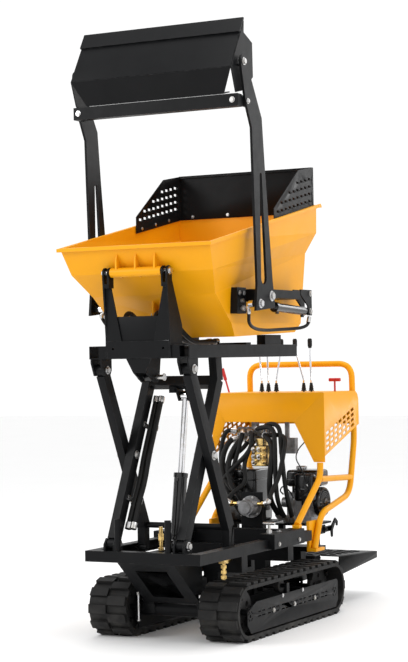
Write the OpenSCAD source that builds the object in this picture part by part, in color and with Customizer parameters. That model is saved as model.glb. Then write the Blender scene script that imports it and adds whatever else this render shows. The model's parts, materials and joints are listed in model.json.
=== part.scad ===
// Tracked power wheelbarrow: scissor lift, tipping skip, self-loading bucket.
// Millimetres. +Z up, front faces -Y, X = 0 is the machine's centre plane.

/* [Tracks] */
// overall width over both belts
track_w = 780; // [740:5:840]
// belt width
belt_w = 200; // [180:5:220]
// links round one belt
links = 37; // [35:1:39]
// height of the rubber lugs
lug_h = 14; // [10:1:18]

/* [Lift] */
// angle of the arms above level at rest
lift_deg = 63.9; // [50:0.5:66]
// pin to pin length of a scissor arm
arm_l = 885; // [800:5:900]
// depth of an arm tube
arm_d = 58; // [46:1:62]

/* [Skip] */
// width over the skip's rim
skip_w = 800; // [760:5:810]
// length of the skip at the rim
skip_l = 1180; // [1150:5:1200]
// height of the extension boards
board_h = 182; // [120:2:230]

/* [Loader] */
// width over the bucket's sides
bucket_w = 846; // [820:2:850]
// height of the loader pivot to the bucket pin
reach = 1057; // [950:5:1150]

/* [Console] */
// width of the cowl
cowl_w = 640; // [560:5:660]
// height of the cowl's top
cowl_top = 1115; // [1060:5:1180]
// height of the handle bar
handle_z = 1258; // [1220:2:1330]
// length of the rear step
step_l = 560; // [450:5:600]

/* [Hidden] */
$fn = 40;
pitch = 72;
teeth = 10;
r_belt = teeth * pitch / (2 * PI);
base_l = (links - teeth) * pitch / 2;
r_in = r_belt - 9;
r_out = r_belt + 7;
wz = r_out + lug_h;
y_idl = 16;
y_spr = y_idl + base_l;
tx = (track_w - belt_w) / 2;
run = 0.06;
gap = 0.3;

// scissor: lower front pin, upper front pin, centre pin
py0 = -230;
pz0 = 455;
pz1 = pz0 + arm_l * sin(lift_deg);
pyc = py0 + arm_l / 2 * cos(lift_deg);
pzc = (pz0 + pz1) / 2;
up_z = pz1 + 51;
up_h = 59;
r_up = (pz1 - pz0 + 80) / sin(lift_deg + 4.5);
up_ry = py0 + r_up * cos(lift_deg + 4.5);
up_rz = pz1 + 80 - 5;
r_lo = (pz1 - pz0 + 54) / sin(lift_deg + 3);
lo_ry = py0 + r_lo * cos(lift_deg + 3);
lo_rz = pz0 - 54 + 3;
xin = 160;
xout = 205;
tube_w = 40;
lift_b = [43, 414];
lift_t = [py0 + 391, pz0 + 669];
dz = pz1 - 1249.7;

// skip pivot and tip cylinder
sp = [-288, 1692 + dz];
tip_b = [-180, 1215 + dz];
tip_t = [-95, 1500 + dz];
fy = -328;
ry = fy + skip_l;
y_step0 = 1276;
y_back = y_step0 + step_l;
y_mid = (fy + y_back) / 2;

// loader pivot, rod pin, cylinder base
lp = [189, 1580 + dz];
lt = [70, 1543 + dz];
lb = [678, 1518 + dz];
lz = lp[1];
bk = [lp[0] - 250 * reach / 1057, lz + reach];
xa = bucket_w / 2 + 11;

yel = [0.94, 0.62, 0.03];
blk = [0.10, 0.10, 0.11];
rub = [0.07, 0.07, 0.07];
chr = [0.75, 0.75, 0.77];
brs = [0.72, 0.55, 0.28];
red = [0.75, 0.08, 0.06];
gry = [0.38, 0.39, 0.40];

module at() { translate([0, -y_mid, 0]) children(); }
module both() { children(); mirror([1, 0, 0]) children(); }
module bx(x0, x1, y0, y1, z0, z1) {
  translate([x0, y0, z0]) cube([x1 - x0, y1 - y0, z1 - z0]);
}
// plate in the YZ plane, from x0 to x1
module ply(x0, x1, pts) {
  translate([x0, 0, 0]) rotate([90, 0, 90]) linear_extrude(x1 - x0) polygon(pts);
}
// plate in the XZ plane, from y0 to y1
module plx(y0, y1, pts) {
  translate([0, y1, 0]) rotate([90, 0, 0]) linear_extrude(y1 - y0) polygon(pts);
}
module cx(x0, x1, y, z, r) {
  translate([x0, y, z]) rotate([0, 90, 0]) cylinder(r = r, h = x1 - x0);
}
module cy(y0, y1, x, z, r) {
  translate([x, y0, z]) rotate([-90, 0, 0]) cylinder(r = r, h = y1 - y0);
}
module cz(x, y, z0, z1, r) { translate([x, y, z0]) cylinder(r = r, h = z1 - z0); }
// round bar between two points
module rod(a, b, r) {
  v = b - a;
  l = norm(v);
  translate(a) rotate([0, acos(v[2] / l), atan2(v[1], v[0])]) cylinder(r = r, h = l);
}
// tube through a list of points with ball joints at the bends
module pipe(p, r) {
  for (i = [0:len(p) - 2]) rod(p[i], p[i + 1], r);
  for (i = [1:len(p) - 2]) {
    v = p[i + 1] - p[i];
    translate(p[i]) rotate([0, acos(v[2] / norm(v)), atan2(v[1], v[0])]) sphere(r = r + 0.4, $fn = 24);
  }
}
// smooth hose through points: quarter points rounded off
module hose(p, r) {
  n = len(p);
  q = [p[0], for (i = [1:n - 2]) for (t = [0.25, 0.5, 0.75])
    let (a = (p[i - 1] + p[i]) / 2, b = p[i], c = (p[i] + p[i + 1]) / 2)
    (1 - t) * (1 - t) * a + 2 * t * (1 - t) * b + t * t * c, p[n - 1]];
  for (i = [0:len(q) - 2]) hull() for (c = [q[i], q[i + 1]]) translate(c) sphere(r = r, $fn = 10);
}
// hexagon head with washer on the x axis
module hexx(x, y, z, r, h) {
  s = sign(h);
  cx(min(x, x + s * 2.5), max(x, x + s * 2.5), y, z, r * 1.35);
  translate([x, y, z]) rotate([0, s * 90, 0]) cylinder(r = r, h = abs(h), $fn = 6);
}
module hexy(x, y, z, r, h) {
  s = sign(h);
  cy(min(y, y + s * 2.5), max(y, y + s * 2.5), x, z, r * 1.35);
  translate([x, y, z]) rotate([-s * 90, 0, 0]) cylinder(r = r, h = abs(h), $fn = 6);
}
module hexz(x, y, z, r, h) {
  cz(x, y, z, z + 2.5, r * 1.35);
  translate([x, y, z]) cylinder(r = r, h = h, $fn = 6);
}
// square tube in the YZ plane between two points, from x0 to x1
module beam(x0, x1, a, b, d, e = 0) {
  v = b - a;
  l = norm(v);
  translate([x0, a[0], a[1]]) rotate([atan2(v[1], v[0]), 0, 0])
    translate([0, -e, -d / 2]) cube([x1 - x0, l + 2 * e, d]);
}
// places children on the belt's pitch line at distance s
module on_belt(s) {
  arc = PI * r_belt;
  per = 2 * base_l + 2 * arc;
  u = s - per * floor(s / per);
  if (u < base_l) translate([0, y_idl + u, wz + r_belt]) children();
  else if (u < base_l + arc)
    translate([0, y_spr, wz]) rotate([-(u - base_l) / arc * 180, 0, 0])
      translate([0, 0, r_belt]) children();
  else if (u < 2 * base_l + arc)
    translate([0, y_spr - (u - base_l - arc), wz - r_belt]) rotate([180, 0, 0]) children();
  else translate([0, y_idl, wz]) rotate([180 - (u - 2 * base_l - arc) / arc * 180, 0, 0])
    translate([0, 0, r_belt]) children();
}
module loop(w, r) {
  cx(-w / 2, w / 2, y_idl, wz, r, $fn = 72);
  cx(-w / 2, w / 2, y_spr, wz, r, $fn = 72);
  bx(-w / 2, w / 2, y_idl, y_spr, wz - r, wz + r);
}
module belt() {
  difference() { loop(belt_w, r_out); loop(belt_w + 2, r_in); }
  lw = belt_w * 0.47;
  for (i = [0:links - 1]) {
    on_belt(i * pitch) translate([3, -21, 6]) cube([lw, 42, lug_h + 1]);
    on_belt(i * pitch + pitch / 2) translate([-lw - 3, -21, 6]) cube([lw, 42, lug_h + 1]);
    on_belt(i * pitch) for (m = [-24, 16]) translate([m, -12, -25]) cube([8, 24, 17]);
  }
}
module track_belt_r() at() color(rub) translate([tx, 0, 0]) belt();
module track_belt_l() at() color(rub) translate([-tx, 0, 0]) belt();

// drive sprocket with its hub
module sprocket() {
  difference() {
    union() {
      cx(-9, 9, 0, 0, r_in - 14, $fn = 60);
      for (i = [0:teeth - 1]) rotate([i * 360 / teeth, 0, 0])
        translate([-9, -11, r_in - 26]) cube([18, 22, 25.2]);
      cx(-34, 34, 0, 0, 34);
    }
    for (i = [0:4]) rotate([i * 72, 0, 0]) cx(-40, 40, 0, 58, 13);
    cx(-50, 50, 0, 0, 15 + run);
  }
}
module idler() {
  difference() {
    union() {
      for (s = [-1, 1]) translate([s * 44, 0, 0]) cx(-14, 14, 0, 0, r_in - 1, $fn = 60);
      cx(-58, 58, 0, 0, 36);
    }
    for (s = [-1, 1]) for (i = [0:5]) rotate([i * 60, 0, 0]) cx(s * 50 - 12, s * 50 + 12, 0, 62, 14);
    cx(-60, 60, 0, 0, 15 + run);
  }
}
module roller() {
  difference() {
    union() {
      for (s = [-1, 1]) translate([s * 44, 0, 0]) cx(-14, 14, 0, 0, 32);
      cx(-58, 58, 0, 0, 16);
    }
    cx(-60, 60, 0, 0, 10 + run);
  }
}
roll_y = [y_idl + base_l * 0.3, y_idl + base_l * 0.7];
roll_z = wz - r_in + 33;
top_y = y_idl + base_l * 0.44;
top_z = wz + r_in - 33;
module sprocket_r() at() color(gry) translate([tx, y_spr, wz]) sprocket();
module sprocket_l() at() color(gry) translate([-tx, y_spr, wz]) sprocket();
module idler_r() at() color(gry) translate([tx, y_idl, wz]) idler();
module idler_l() at() color(gry) translate([-tx, y_idl, wz]) idler();
module roller_r1() at() color(gry) translate([tx, roll_y[0], roll_z]) roller();
module roller_r2() at() color(gry) translate([tx, roll_y[1], roll_z]) roller();
module roller_l1() at() color(gry) translate([-tx, roll_y[0], roll_z]) roller();
module roller_l2() at() color(gry) translate([-tx, roll_y[1], roll_z]) roller();
module carrier_r() at() color(gry) translate([tx, top_y, top_z]) roller();
module carrier_l() at() color(gry) translate([-tx, top_y, top_z]) roller();

// side guards: outer plate with slots, and a plain inner plate
gx = track_w / 2 - 6;
module guard_plate(x0, x1, slots) {
  zt = wz + 42;
  zb = wz - r_in + 8;
  difference() {
    ply(x0, x1, [[y_idl - 22, zb + 40], [y_idl + 12, zb], [y_spr + 10, zb], [y_spr + 38, zb + 34],
      [y_spr + 38, zt - 10], [y_spr + 24, zt], [y_idl + 70, zt], [y_idl - 22, zt - 40]]);
    if (slots) {
      for (j = [0, 1]) for (k = [0:5]) for (m = [0:2]) if (!(k == 0 && m == 0) && !(k == 5 && m == 2))
        bx(x0 - 1, x1 + 1, y_idl + 40 + k * 152 + m * 44, y_idl + 70 + k * 152 + m * 44,
          wz - 30 + j * 20, wz - 24 + j * 20);
      for (y = [y_idl + 6, y_spr - 8]) {
        cx(x0 - 1, x1 + 1, y, wz - 18, 7);
        for (a = [0:3]) translate([0, y, wz - 18]) rotate([a * 90 + 45, 0, 0])
          bx(x0 - 1, x1 + 1, -9, 9, 19, 24);
      }
    }
    for (y = [y_idl, y_spr]) if (!slots) cx(x0 - 1, x1 + 1, y, wz, 24);
  }
}
module side_guards() at() color(blk) both() guard_plate(gx, gx + 5, true);
module inner_guards() at() color(blk) both() guard_plate(tx - belt_w / 2 + 2, tx - belt_w / 2 + 7, false);
module guard_bolts() at() color(chr) both() {
  for (y = [y_idl + 253, y_idl + 486, y_idl + 721]) hexx(gx + 5, y, wz - 20, 8, 6);
  for (y = [y_idl + 354, y_idl + 580]) hexx(gx + 5, y, wz + 36, 7, 5);
}
// beams inside the belts, wheel axles and their carriers
module track_beams() at() color(blk) both() {
  x0 = tx - belt_w / 2 + 7;
  for (e = [[x0, x0 + 14], [gx - 14, gx]]) bx(e[0], e[1], y_idl + 40, y_spr - 40, wz - 24, wz + 24);
  for (y = [y_idl + 120, y_spr - 170]) bx(x0 + 14, gx - 14, y, y + 50, wz - 14, wz + 14);
  for (y = [y_idl, y_spr]) cx(x0, gx, y, wz, 15);
  for (e = [[x0, x0 + 12], [gx - 12, gx]]) {
    bx(e[0], e[1], y_idl, y_idl + 42, wz - 20, wz + 20);
    bx(e[0], e[1], y_spr - 42, y_spr, wz - 20, wz + 20);
  }
  for (y = roll_y) {
    cx(x0, gx, y, roll_z, 10);
    for (e = [[x0, x0 + 12], [gx - 12, gx]]) bx(e[0], e[1], y - 14, y + 14, roll_z - 14, wz - 20);
  }
  cx(x0, gx, top_y, top_z, 10);
  for (e = [[x0, x0 + 12], [gx - 12, gx]]) bx(e[0], e[1], top_y - 14, top_y + 14, wz + 20, top_z + 14);
}
// chassis: cross axles, long beams, risers and cross members
ax_y = [60, 900];
cw = tx - belt_w / 2 + 2;
module chassis_beams() at() color(blk) {
  for (y = ax_y) cx(-cw, cw, y, 124, 30);
  both() {
    bx(112, 172, 20, 1150, 150, 214);
    for (y = [130, 640]) bx(112, 172, y, y + 60, 214, 300);
    bx(112, 172, 1060, 1120, 214, 306);
  }
  for (y = [130, 640]) bx(-296, 296, y, y + 60, 300, 375.7);
  bx(-272, 272, 1030, 1150, 306, 330);
  both() for (y = ax_y) bx(112, 172, y - 34, y + 34, 110, 150);
}
module front_guard() at() color(blk) {
  v = [253, -206];
  l = norm(v);
  translate([0, -250, 375.7]) rotate([atan2(v[1], v[0]), 0, 0]) difference() {
    translate([-146, 0, -6]) cube([292, l, 6]);
    for (k = [0:2]) translate([-82, 60 + k * 103, -7]) cube([164, 15, 8]);
  }
  both() ply(140, 146, [[-250, 375.7], [20, 375.7], [20, 216], [-54, 216]]);
}
module guard_rod() at() color(chr) both() {
  cz(164, -34, 84, 206, 6);
  bx(158, 170, -40, 19.7, 200, 212);
  cz(164, -34, 78, 84, 9);
}
// lower frame: front tube and channel rails open to the inside
fr_x = 298;
module channel(x0, x1, y0, y1, z0, z1, t) {
  difference() {
    bx(x0, x1, y0, y1, z0, z1);
    bx(x0 - 1, x1 - t, y0 - 1, y1 + 1, z0 + t, z1 - t);
  }
}
module lower_rails() at() color(blk) {
  bx(-fr_x, fr_x, -286, -236, 376, 426);
  both() channel(fr_x - 50, fr_x, -236, 872, 376, 426, 4);
  bx(-fr_x, fr_x, 872, 922, 376, 426);
  bx(-fr_x + 50 + gap, fr_x - 50 - gap, 690, 740, 376, 426);
  bx(-240, 240, 690, 740, 426, 448);
}
module rail_sockets() at() color(blk) both() {
  bx(fr_x + gap, fr_x + 32, 417, 763, 380, 452);
  bx(247, fr_x + gap, 417, 763, 426 + gap, 452);
}
module socket_bolts() at() color(chr) both() {
  for (y = [470, 700]) hexx(fr_x + 32, y, 402, 8, 6);
  hexz(286, 560, 452, 9, 8);
}
module screw(x) {
  cz(x, 452, 452 + gap, 470, 13);
  cz(x, 452, 470, 500, 7);
  cx(x - 30, x + 30, 452, 500, 7);
}
module clamp_screw_r() at() color(chr) screw(286);
module rest_posts() at() color(blk) {
  for (p = [[-138, -262], [123, -262]]) cz(p[0], p[1], 426, 572, 15);
  cz(-98, 715, 448, 572, 15);
}
// lugs that carry the lower front pins, on the front tube
module lower_lugs() at() color(blk) both() {
  for (x = [xin - 9 - gap, xin + tube_w + gap]) difference() {
    ply(x, x + 9, [[py0 - 40, 420], [py0 + 34, 420], [py0 + 34, 455], [py0 + 18, 482],
      [py0 - 18, 482], [py0 - 40, 455]]);
    cx(x - 1, x + 10, py0, pz0, 15 + run);
  }
  bx(xin - 9 - gap, xin + tube_w + 9 + gap, -236, py0 + 34, 376, 423);
}
module lower_pins() at() color(chr) both() {
  cx(xin - 12, xin + tube_w + 12, py0, pz0, 15);
  hexx(xin + tube_w + 9.3 + gap, py0, pz0, 15, 12);
  hexx(xin - 9 - gap, py0, pz0, 13, -10);
}
// inner arms: hinge at the lower front pins, bent upper ends with rollers
// the point d from a towards b
function along(a, b, d) = a + (b - a) / norm(b - a) * d;
in_top = [py0 + arm_l * 0.93 * cos(lift_deg), pz0 + arm_l * 0.93 * sin(lift_deg)];
module inner_tubes() at() color(blk) {
  both() difference() {
    union() {
      beam(xin, xin + tube_w, along([py0, pz0], in_top, 20), along(in_top, [py0, pz0], -2), arm_d, 0);
      cx(xin, xin + tube_w, py0, pz0, arm_d / 2 - 1.5);
      beam(xin + 0.3, xin + tube_w - 0.3, along(in_top, [up_ry, up_rz], -2), along([up_ry, up_rz], in_top, 14), arm_d, 0);
      cx(xin, xin + tube_w, up_ry, up_rz, 21);
    }
    cx(xin - 1, xin + tube_w + 1, py0, pz0, 15 + run);
    cx(xin - 1, xin + tube_w + 1, pyc, pzc, 15 + run);
    cx(xin - 1, xin + tube_w + 1, up_ry, up_rz, 10 + run);
  }
}
cb = [py0 + 357, pz0 + 730];
module arm_cross_tube() at() color(blk) {
  translate([0, cb[0], cb[1]]) rotate([lift_deg, 0, 0]) translate([-xin - 5, -24, -24]) cube([2 * xin + 10, 48, 48]);
  both() ply(21, 31, [[cb[0] - 20, cb[1] - 22], [cb[0] + 30, cb[1] + 2], [lift_t[0] + 26, lift_t[1] + 6],
    [lift_t[0] + 20, lift_t[1] - 24], [lift_t[0] - 18, lift_t[1] - 26]]);
  bx(-60, -31, cb[0] - 20, cb[0] + 22, cb[1] - 48, cb[1] - 18);
  bx(31, 60, cb[0] - 20, cb[0] + 22, cb[1] - 48, cb[1] - 18);
}
module lift_bolts() at() color(chr) both() {
  hexx(31, lift_t[0], lift_t[1], 13, 9);
}
module centre_pins() at() color(chr) both() {
  cx(xin - 6, xout + tube_w + 8, pyc, pzc, 15);
  hexx(xout + tube_w + gap, pyc, pzc, 16, 13);
  hexx(xin - gap, pyc, pzc, 15, -10);
}
module roller_stubs() at() color(chr) both() {
  cx(xin - 4, 249, up_ry, up_rz, 10);
}
module upper_rollers() at() color(gry) both() difference() {
  cx(xin + tube_w + 8, 250, up_ry, up_rz, 18);
  cx(xin, 260, up_ry, up_rz, 10 + run);
}
// outer arms: hang from the upper front pins
lo_bot = [py0 + arm_l * 0.93 * cos(lift_deg), pz1 - arm_l * 0.93 * sin(lift_deg)];
module outer_tubes() at() color(blk) both() difference() {
  union() {
    beam(xout, xout + tube_w, along([py0, pz1], lo_bot, 20), along(lo_bot, [py0, pz1], -2), arm_d, 0);
    cx(xout, xout + tube_w, py0, pz1, arm_d / 2 - 1.5);
    beam(xout, xout + tube_w, along(lo_bot, [lo_ry, lo_rz], -2), along([lo_ry, lo_rz], lo_bot, 14), arm_d - 12, 0);
    cx(xout, xout + tube_w, lo_ry, lo_rz, 19);
  }
  cx(xout - 1, xout + tube_w + 1, py0, pz1, 15 + run);
  cx(xout - 1, xout + tube_w + 1, pyc, pzc, 15 + run);
  cx(xout - 1, xout + tube_w + 1, lo_ry, lo_rz, 10 + run);
}
module outer_cross_tube() at() color(blk) cx(-xout, xout, lo_bot[0], lo_bot[1], 14);
module lower_stubs() at() color(chr) both() cx(xout - 4, 288, lo_ry, lo_rz, 10);
module lower_rollers() at() color(gry) both() difference() {
  cx(xout + tube_w + 6, 290, lo_ry, lo_rz, 16);
  cx(xout, 300, lo_ry, lo_rz, 10 + run);
}
// upper frame: channel rails open to the inside, cross members and front plate
ux = 260;
module upper_rails() at() color(blk) {
  both() channel(ux - 50, ux, -283, 865, up_z, up_z + up_h, 4.5);
  difference() {
    for (y = [-283, 815]) bx(-209.7, 209.7, y, y + 50, up_z, up_z + up_h);
    for (s = [-1, 1]) cy(-300, -220, s * 130, up_z + 45, 6);
  }
  bx(-ux + 4, ux - 4, 300, 350, up_z + up_h, up_z + up_h + 10);
}
module upper_lugs() at() color(blk) both() {
  for (x = [xout - 9 - gap, xout + tube_w + gap]) difference() {
    ply(x, x + 9, [[-283, up_z], [-283, up_z - 18], [py0 - 26, pz1 - 26], [py0 + 26, pz1 - 26],
      [py0 + 40, pz1], [py0 + 40, up_z]]);
    cx(x - 1, x + 10, py0, pz1, 15 + run);
  }
}
module upper_pins() at() color(chr) both() {
  cx(xout - 12, xout + tube_w + 12, py0, pz1, 15);
  hexx(xout + tube_w + 9.3 + gap, py0, pz1, 16, 12);
  hexx(xout - 9 - gap, py0, pz1, 14, -10);
}
// towers that carry the skip's hinge tube, with flanged front edges
module tower_plates() at() color(blk) both() {
  z0 = up_z + up_h;
  difference() {
    union() {
      ply(160, 168, [[-290, up_z], [-283, up_z], [-283, z0], [-176, z0], [-176, z0 + 90],
        [sp[0] + 24, sp[1] - 40], [sp[0] + 24, sp[1]], [sp[0] - 24, sp[1]], [sp[0] - 24, sp[1] - 30], [-290, z0 + 40]]);
      cx(160, 168, sp[0], sp[1], 24);
      ply(135.3, 143.3, [[sp[0] - 20, sp[1] - 60], [sp[0] + 24, sp[1] - 60], [sp[0] + 24, sp[1]], [sp[0] - 24, sp[1]]]);
      cx(135.3, 143.3, sp[0], sp[1], 24);
      bx(135.3, 168, sp[0] - 20, sp[0] + 24, sp[1] - 70, sp[1] - 52);
    }
    cx(134, 169, sp[0], sp[1], 12 + run);
  }
  plx(-290, -283, [[84, z0 + 20 + gap], [160, z0 + 20 + gap], [160, sp[1] - 70], [134, sp[1] - 70]]);
}
module front_plate() at() color(blk) difference() {
  bx(-160, 160, -289.7, -283, up_z + 2, up_z + up_h + 20);
  for (s = [-1, 1]) cy(-300, -280, s * 130, up_z + 45, 6);
}
module skip_hinge_pins() at() color(chr) both() {
  cx(100, 174, sp[0], sp[1], 12);
  hexx(168, sp[0], sp[1], 13, 11);
}
// tapered bracket under the front cross member holds the tip cylinder's foot
module tip_bracket() at() color(blk) {
  plx(-283, -277, [[-66, up_z], [66, up_z], [30, tip_b[1] + 20], [-30, tip_b[1] + 20]]);
  both() difference() {
    ply(27, 35, [[-277, up_z], [-140, up_z], [tip_b[0] + 26, tip_b[1] - 6], [tip_b[0] + 14, tip_b[1] - 24],
      [tip_b[0] - 22, tip_b[1] - 24], [-277, tip_b[1] + 22]]);
    cx(20, 40, tip_b[0], tip_b[1], 11 + run);
  }
}
module tip_foot_pin() at() color(chr) {
  cx(-62, 72, tip_b[0], tip_b[1], 11);
  cx(72, 76, tip_b[0], tip_b[1], 17);
}
// a cylinder barrel from foot b towards t, length n, radius r, foot eye half width e
module barrel(x, b, t, n, r, e, eye, b0) {
  a = atan2(t[1] - b[1], t[0] - b[0]);
  translate([x, b[0], b[1]]) rotate([a, 0, 0]) difference() {
    union() {
      cy(eye * 1.5, n, 0, 0, r);
      cy(eye * 0.5, eye * 1.6, 0, 0, e - 2);
      cy(n - 14, n + 6, 0, 0, r + 3);
      cx(-e, e, 0, 0, eye);
      for (y = [eye * 1.5 + 22, n - 28]) cz(0, y, 0, r + 10, 9);
    }
    cy(b0, n + 7, 0, 0, r * 0.5 + run);
  }
}
module piston(x, b, t, n, r, e, eye, d) {
  a = atan2(t[1] - b[1], t[0] - b[0]);
  l = norm(t - b);
  translate([x, b[0], b[1]]) rotate([a, 0, 0]) {
    difference() {
      union() { cy(d, l - eye * 0.6, 0, 0, r); cx(-e, e, l, 0, eye); }
      cx(-e - 1, e + 1, l, 0, eye * 0.5);
    }
  }
}
module lift_base() at() color(blk) {
  both() difference() {
    union() {
      ply(24, 34, [[lift_b[0] - 60, 300], [129.7, 300], [129.7, 376], [lift_b[0] + 22, 376],
        [lift_b[0] + 18, lift_b[1] + 16], [lift_b[0] - 18, lift_b[1] + 16], [lift_b[0] - 60, 376]]);
    }
    cx(20, 40, lift_b[0], lift_b[1], 12 + run);
  }
  bx(-34, 34, lift_b[0] - 60, 129.7, 292, 302);
}
module lift_base_pin() at() color(chr) {
  cx(-44, 44, lift_b[0], lift_b[1], 12);
}
module lift_barrel() at() color(blk) difference() {
  union() {
    barrel(0, lift_b, lift_t, 345, 31, 20, 24, 110);
    a = atan2(lift_t[1] - lift_b[1], lift_t[0] - lift_b[0]);
    translate([0, lift_b[0], lift_b[1]]) rotate([a, 0, 0]) translate([0, 0, 44]) {
      cy(60, 300, 0, 0, 7);
      cz(0, 60, -14, 6, 7);
      cz(0, 300, -14, 6, 7);
    }
  }
  cx(-21, 21, lift_b[0], lift_b[1], 12 + run);
}
module lift_rod() at() color(chr) piston(0, lift_b, lift_t, 345, 15.5 - run, 16, 22, 334);
module tip_barrel() at() color(blk) difference() {
  barrel(0, tip_b, tip_t, 235, 26, 20, 20, 34);
  cx(-21, 21, tip_b[0], tip_b[1], 11 + run);
}
module tip_rod() at() color(chr) piston(0, tip_b, tip_t, 235, 13 - run, 13, 17, 38);
xc = bucket_w / 2 - 24;
module loader_barrels() at() color(blk) both() difference() {
  barrel(xc, lb, lt, 360, 21, 12, 17, 60);
  cx(xc - 14, xc + 14, lb[0], lb[1], 9 + run);
}
module loader_rods() at() color(chr) both() piston(xc, lb, lt, 360, 10.5 - run, 11, 16, 212);

// skip tub: level loops as [front half width, rear half width, front y, rear y, front z, rear z]
sw = skip_w / 2 - 12;
rim_f = 1811 + dz;
rim_r = 2052 + dz;
tub = [[sw, sw, fy + 12, ry - 4, rim_f, rim_r], [sw - 20, sw - 2, fy + 78, ry - 6, 1690 + dz, 1912 + dz],
  [sw - 67, sw - 64, fy + 187, ry - 7, 1590 + dz, 1812 + dz],
  [sw - 76, sw - 92, fy + 363, ry - 14, 1455 + dz, 1465 + dz],
  [sw - 98, sw - 104, fy + 438, ry - 62, 1395 + dz, 1420 + dz]];
module loft(v, t, up, dn) {
  n = len(v);
  p = [for (i = [0:n - 1]) let (l = v[i], e = i == 0 ? up : i == n - 1 ? dn : 0)
    each [[-l[0] + t, l[2] + t, l[4] + e], [l[0] - t, l[2] + t, l[4] + e],
      [l[1] - t, l[3] - t, l[5] + e], [-l[1] + t, l[3] - t, l[5] + e]]];
  polyhedron(p, concat([[0, 3, 2, 1]], [[4 * n - 4, 4 * n - 3, 4 * n - 2, 4 * n - 1]],
    [for (i = [0:n - 2]) for (j = [0:3]) let (a = 4 * i + j, b = 4 * i + (j + 1) % 4)
      each j == 3 ? [[a, b, a + 4], [b, b + 4, a + 4]] : [[a, b, b + 4], [a, b + 4, a + 4]]]));
}
module tub_shell() at() color(yel) {
  difference() {
    union() {
      difference() { loft(tub, 0, 0, 0); loft(tub, 6, 30, 6); }
      // hinge tube and its gussets
      cx(-131, 131, sp[0], sp[1], 22);
      for (x = [-103, -4, 95]) ply(x, x + 8, [[sp[0] - 19, sp[1]], [sp[0] - 16, sp[1] + 62],
        [sp[0] - 8, sp[1] + 84], [sp[0] + 38, sp[1] + 2], [sp[0] + 42, sp[1] - 24], [sp[0] + 16, sp[1] - 20]]);
      both() ply(16, 24, [[tip_t[0] - 16, tip_t[1] - 12], [tip_t[0] + 16, tip_t[1] - 16],
        [tip_t[0] + 86, tip_t[1] - 7], [tip_t[0] - 13, tip_t[1] + 69]]);
    }
    cx(-140, 140, sp[0], sp[1], 12 + run);
  }
}
module skip_rim() at() color(yel) {
  bx(-skip_w / 2, skip_w / 2, fy, fy + 12, rim_f - 16, rim_f);
  both() beam(sw + gap, skip_w / 2 - 0.6, [fy + 6, rim_f - 8], [ry + 30, rim_r - 1], 16);
  bx(-skip_w / 2, skip_w / 2, ry - 4 + gap, ry + 35, rim_r - 12, rim_r);
}
module tip_bolts() at() color(chr) both() hexx(24, tip_t[0], tip_t[1], 10, 8);
// extension boards inside the rim
slope = (rim_r - rim_f) / (ry - fy - 16);
module side_board(x) {
  y0 = fy + 706;
  z0 = rim_f + 706 * slope;
  y1 = ry - 12;
  z1 = rim_r;
  difference() {
    ply(x, x + 4, [[y0, z0 - 38], [y1, z1 - 40], [y1, z1 + board_h + 4], [y1 - 176, z1 + board_h - 26], [y0, z0 + 44]]);
    for (k = [0:3]) for (m = [0:9]) {
      y = y0 + 26 + m * 46;
      z = z0 + 22 + (y - y0) * slope + k * 36;
      if (z < z0 + 26 + (y - y0) * 0.66 && y < y1 - 30 && z < z1 + board_h - 40) {
        bx(x - 1, x + 5, y, y + 28, z, z + 12);
        cx(x - 1, x + 5, y + 37, z + 6, 4, $fn = 20);
      }
    }
  }
}
module side_boards() at() color(blk) both() side_board(sw - 14);
module rear_board() at() color(blk) {
  bx(-sw + 14 + gap, sw - 14 - gap, ry - 15.1, ry - 11.1, rim_r - 40, rim_r + board_h + 4);
  bx(-sw + 14 + gap, sw - 14 - gap, ry - 25, ry - 15.1, rim_r + board_h - 8, rim_r + board_h + 4);
}
module board_bolts() at() color(chr) {
  both() for (y = [fy + 760, fy + 900, fy + 1040])
    hexx(sw - 14, y, rim_f + (y - fy) * slope - 22, 6, -5);
  for (x = [-300, -100, 100, 300]) hexy(x, ry - 15.1, rim_r - 24, 6, -5);
}
// brackets on the skip's sides: loader pivot box and rear cylinder bracket
module loader_mounts() at() color(blk) both() {
  difference() {
    union() {
      bx(280, xc + 22, lp[0] + 30, lp[0] + 376, lz - 6, lz + 34);
      bx(280, xc + 22, lp[0] - 40, lp[0] + 30, lz - 22, lz + 34);
      cx(xc - 10, xa - gap, lp[0], lp[1], 26);
      for (x = [xc - 23, xc + 15]) ply(x, x + 8, [[lb[0] - 24, lb[1] - 20], [lb[0] + 18, lb[1] - 20],
        [lb[0] + 18, lb[1] + 104], [lb[0] - 108, lb[1] + 104], [lb[0] - 108, lb[1] + 78], [lb[0] - 24, lb[1] + 26]]);
      bx(280, xc - 15, lb[0] - 70, lb[0] + 10, lb[1] + 64, lb[1] + 100);
      bx(280, 352, 20, 112, lz - 80, lz + 40);
    }
    loft(tub, 0, 40, 0);
    cx(xc, xa + 1, lp[0], lp[1], 14 + run);
    cx(xc - 30, xc + 30, lb[0], lb[1], 9 + run);
  }
}
module loader_pins() at() color(chr) both() {
  cx(xc + 2, xa + 16, lp[0], lp[1], 14);
  hexx(xa + 12, lp[0], lp[1], 18, 12);
  cx(xc - 25, xc + 25, lb[0], lb[1], 9);
  hexx(xc + 23, lb[0], lb[1], 11, 8);
  hexx(xc + 23, lb[0], lb[1] + 86, 10, 7);
}
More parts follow.
